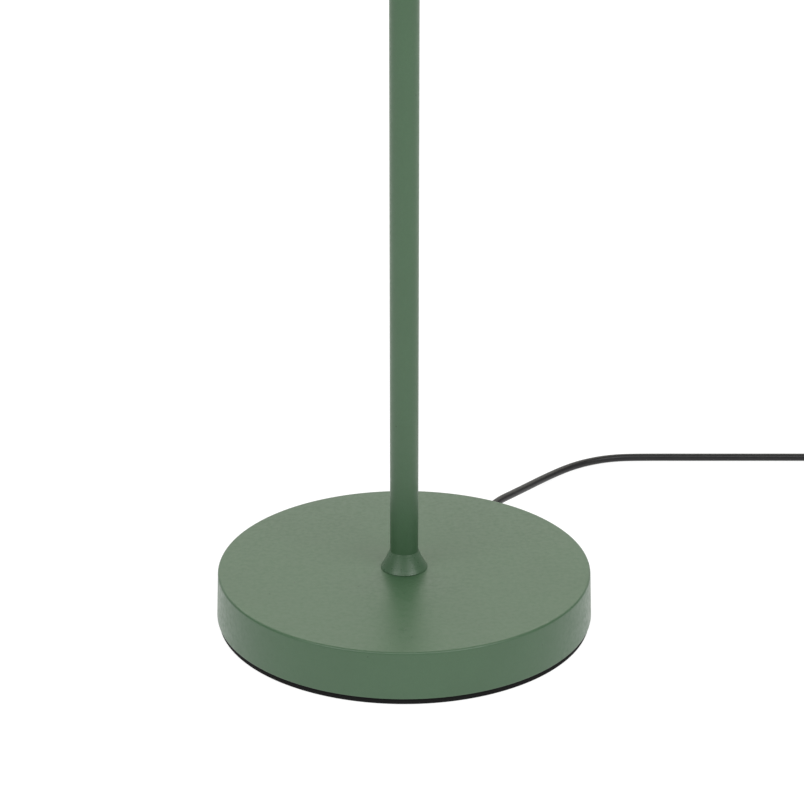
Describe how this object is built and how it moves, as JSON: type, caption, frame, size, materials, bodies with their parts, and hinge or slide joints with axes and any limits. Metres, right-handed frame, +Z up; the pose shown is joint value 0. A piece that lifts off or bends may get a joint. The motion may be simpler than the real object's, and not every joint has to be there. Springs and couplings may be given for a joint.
{
  "type": "adjustable arm floor lamp",
  "caption": "Floor lamp with a round weighted base, a straight pole, a tilting arm with friction joints and a conical metal shade, in muted green.",
  "frame": {"origin": "on the floor under the pole's axis, in the middle of the pad's underside", "axes": "+Z up along the pole, +X along the arm's reach at rest, +Y towards the back, where the cord leaves"},
  "size_m": [0.5627, 0.4051, 1.4596],
  "materials": {
    "green_paint": "satin powder coat",
    "cast_iron": "rough",
    "foam_pad": "matte foam",
    "zinc_steel": "zinc plated",
    "nickel": "bright nickel plate",
    "black_plastic": "fine texture",
    "white_plastic": "satin",
    "black_cord": "satin PVC sheath",
    "opal_glass": "opal white"
  },
  "bodies": {
    "stand": {"base_pad": "foam_pad", "base_weight": "cast_iron", "base_cover": "green_paint", "base_washer": "zinc_steel", "base_nut": "zinc_steel", "base_nipple": "zinc_steel", "cord_gland": "black_plastic", "cord_clamp_bar": "zinc_steel", "cord_clamp_screw_left": "zinc_steel", "cord_clamp_screw_right": "zinc_steel", "pole_collar": "green_paint", "pole_foot_bush": "zinc_steel", "pole_lower": "green_paint", "pole_coupler": "zinc_steel", "pole_upper": "green_paint", "pole_top_bush": "zinc_steel", "pole_lead": "black_cord", "power_cord": "black_cord", "cord_coil": "black_cord", "cord_tie": "black_plastic", "cord_tail": "black_cord", "plug_body": "black_plastic", "plug_pin_left": "nickel", "plug_pin_right": "nickel"},
    "swivel": {"swivel_knuckle": "green_paint", "swivel_lock_nut": "zinc_steel", "arm_hinge_bolt": "zinc_steel"},
    "arm": {"arm_knuckle": "green_paint", "arm_friction_ring": "black_plastic", "arm_spring_washer": "zinc_steel", "arm_tube": "green_paint", "arm_lead": "black_cord", "arm_end_knuckle": "green_paint", "head_hinge_bolt": "zinc_steel"},
    "arm_clamp": {"arm_knob": "black_plastic"},
    "head": {"head_knuckle": "green_paint", "head_friction_ring": "black_plastic", "head_spring_washer": "zinc_steel", "head_nipple": "zinc_steel", "head_lead": "black_cord", "socket_cap": "green_paint", "lamp_holder": "white_plastic", "shade_ring": "white_plastic", "lampshade": "green_paint", "bulb_cap": "nickel", "bulb_globe": "opal_glass", "switch_body": "white_plastic"},
    "head_clamp": {"head_knob": "black_plastic"},
    "switch": {"switch_knob": "black_plastic"}
  },
  "joints": [
    {"name": "arm_swivel", "type": "hinge", "parent": "stand", "child": "swivel", "pos_m": [0, 0, 1.2], "axis": [0, 0, 1], "range_deg": [-165, 165]},
    {"name": "arm_tilt", "type": "hinge", "parent": "swivel", "child": "arm", "pos_m": [0, 0, 1.2], "axis": [0, -1, 0], "range_deg": [-60, 40]},
    {"name": "arm_knob_turn", "type": "hinge", "parent": "swivel", "child": "arm_clamp", "pos_m": [0, -0.0166, 1.2], "axis": [0, -1, 0], "range_deg": [0, 360]},
    {"name": "head_tilt", "type": "hinge", "parent": "arm", "child": "head", "pos_m": [0.35224, 0, 1.44664], "axis": [0, -1, 0], "range_deg": [-10, 100]},
    {"name": "head_knob_turn", "type": "hinge", "parent": "arm", "child": "head_clamp", "pos_m": [0.35224, -0.0166, 1.44664], "axis": [0, -1, 0], "range_deg": [0, 360]},
    {"name": "switch_turn", "type": "hinge", "parent": "head", "child": "switch", "pos_m": [0.38023, 0, 1.39514], "axis": [1, 0, 0], "range_deg": [0, 90]}
  ]
}
